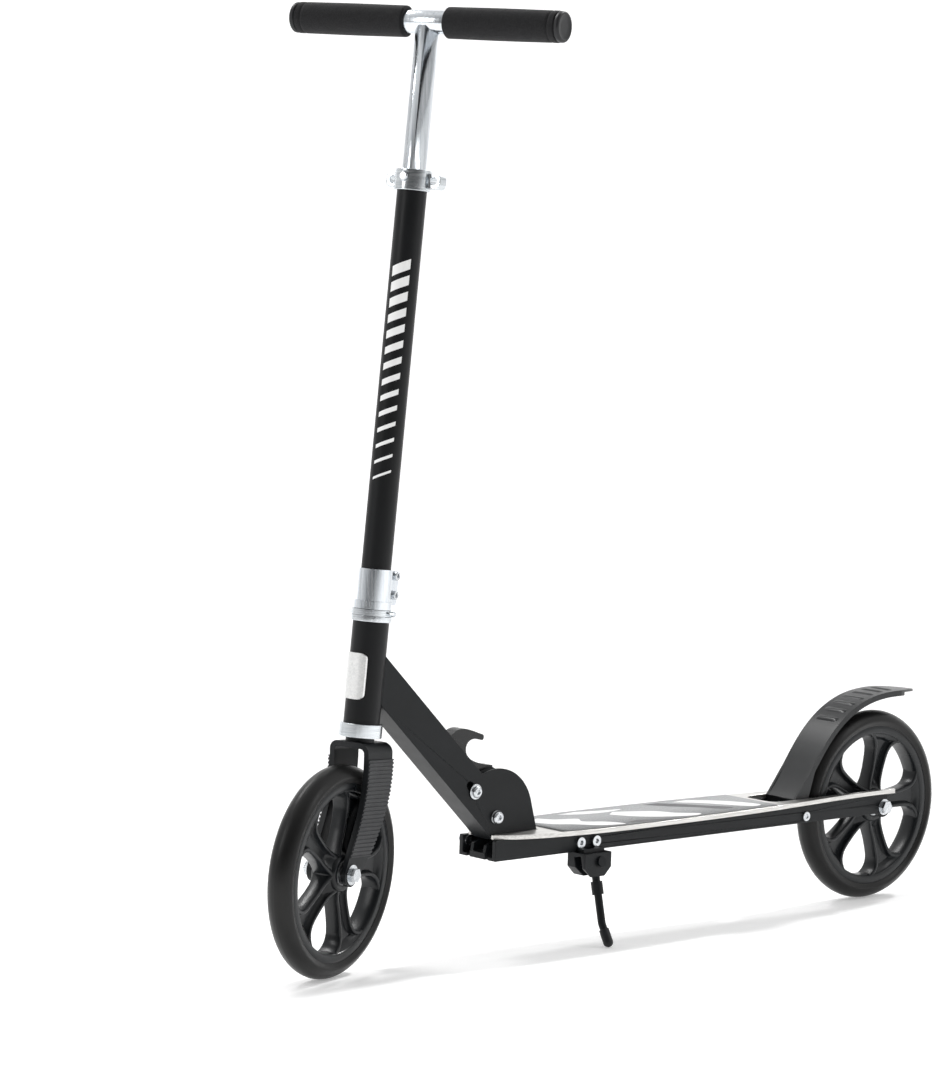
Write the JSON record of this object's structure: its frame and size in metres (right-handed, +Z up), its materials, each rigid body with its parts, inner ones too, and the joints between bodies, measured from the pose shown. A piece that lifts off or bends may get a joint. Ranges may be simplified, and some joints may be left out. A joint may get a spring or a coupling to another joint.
{
  "type": "kick scooter",
  "caption": "Folding kick scooter with large wheels, flat deck, foot brake over the rear wheel, side stand and a height-adjustable T-bar with foam grips",
  "frame": {"origin": "middle of the footprint on the floor, under the scooter leaned onto its stand", "axes": "+X towards the front wheel, the longest way; +Y to the rider's left; +Z up"},
  "size_m": [0.9407, 0.2802, 0.9095],
  "materials": {
    "deck_paint": "satin black paint",
    "bare_alu": "brushed bare edge",
    "tape": null,
    "frame_paint": "gloss black paint",
    "polished": "polished",
    "chrome_part": "bright plated",
    "steel_part": "plain steel",
    "tyre_rubber": "smooth moulded tyre",
    "rim_plastic": "moulded black wheel core",
    "guard_plastic": "moulded black",
    "lever_plastic": "moulded black",
    "foam": "closed-cell foam",
    "foot_rubber": "moulded",
    "badge_plate": "plain satin plate",
    "cover_plastic": "ribbed moulded cover"
  },
  "bodies": {
    "deck": {"deck_board": "bare_alu", "grip_tape": "tape", "left_rail": "deck_paint", "right_rail": "deck_paint", "floor_plate": "deck_paint", "fold_bracket": "deck_paint", "pivot_bolt": "chrome_part", "nose_bolt": "chrome_part", "stand_bracket": "frame_paint", "stand_bolts": "chrome_part", "stand_pin": "steel_part", "brake_pin": "chrome_part", "brake_spring": "steel_part", "rear_axle": "chrome_part", "rear_spacers": "steel_part"},
    "guard": {"rear_guard": "guard_plastic"},
    "stand": {"stand_leg": "frame_paint", "stand_foot": "foot_rubber"},
    "rear_wheel": {"rear_tyre": "tyre_rubber", "rear_rim": "rim_plastic", "rear_bearings": "steel_part"},
    "stem": {"down_tube": "frame_paint", "head_tube": "frame_paint", "head_badge": "badge_plate", "headset_cups": "frame_paint", "latch_spring": "steel_part"},
    "latch": {"release_lever": "lever_plastic", "lock_pin": "chrome_part"},
    "steerer": {"fork": "frame_paint", "fork_cover_left": "cover_plastic", "fork_cover_right": "cover_plastic", "steerer_tube": "steel_part", "headset_bearings": "steel_part", "upper_cone": "frame_paint", "lower_clamp": "polished", "clamp_bolts": "chrome_part", "outer_tube": "frame_paint", "upper_collar": "polished", "front_axle": "chrome_part", "front_spacers": "steel_part"},
    "front_wheel": {"front_tyre": "tyre_rubber", "front_rim": "rim_plastic", "front_bearings": "steel_part"},
    "button": {"height_button": "frame_paint"},
    "t_bar": {"inner_tube": "polished", "cross_bar": "polished", "grip_left": "foam", "grip_right": "foam", "grip_cap_left": "foot_rubber", "grip_cap_right": "foot_rubber"}
  },
  "joints": [
    {"name": "rear_wheel_spin", "type": "hinge", "parent": "deck", "child": "rear_wheel", "pos_m": [-0.37039, -0.03835, 0.10032], "axis": [0, 0.9988, -0.0489], "continuous": true},
    {"name": "brake_press", "type": "hinge", "parent": "deck", "child": "guard", "pos_m": [-0.24938, -0.03832, 0.10082], "axis": [0, -0.9988, 0.0489], "range_deg": [0, 5], "stiffness_Nm_per_rad": 1.2, "springref_deg": -20.05},
    {"name": "stand_swing", "type": "hinge", "parent": "deck", "child": "stand", "pos_m": [0.06062, -0.00626, 0.08073], "axis": [0, 0.9823, 0.1874], "range_deg": [0, 88]},
    {"name": "fold", "type": "hinge", "parent": "deck", "child": "stem", "pos_m": [0.17522, -0.03667, 0.13458], "axis": [0, -0.9988, 0.0489], "range_deg": [0, 85]},
    {"name": "latch_pull", "type": "slide", "parent": "stem", "child": "latch", "axis": [0.7254, 0.0336, 0.6875], "range_m": [0, 0.009], "stiffness_N_per_m": 1500, "springref_m": -0.004},
    {"name": "steer", "type": "hinge", "parent": "stem", "child": "steerer", "pos_m": [0.34852, -0.03835, 0.10032], "axis": [-0.0844, 0.0487, 0.9952], "range_deg": [-100, 60]},
    {"name": "front_wheel_spin", "type": "hinge", "parent": "steerer", "child": "front_wheel", "pos_m": [0.37487, -0.02953, 0.09977], "axis": [-0.3178, 0.9453, -0.0732], "continuous": true},
    {"name": "height_button_press", "type": "slide", "parent": "steerer", "child": "button", "axis": [-0.9444, -0.3225, -0.0643], "range_m": [0, 0.0015], "stiffness_N_per_m": 800, "springref_m": -0.002},
    {"name": "bar_height", "type": "slide", "parent": "steerer", "child": "t_bar", "axis": [-0.0844, 0.0487, 0.9952], "range_m": [-0.08, 0.05]}
  ]
}
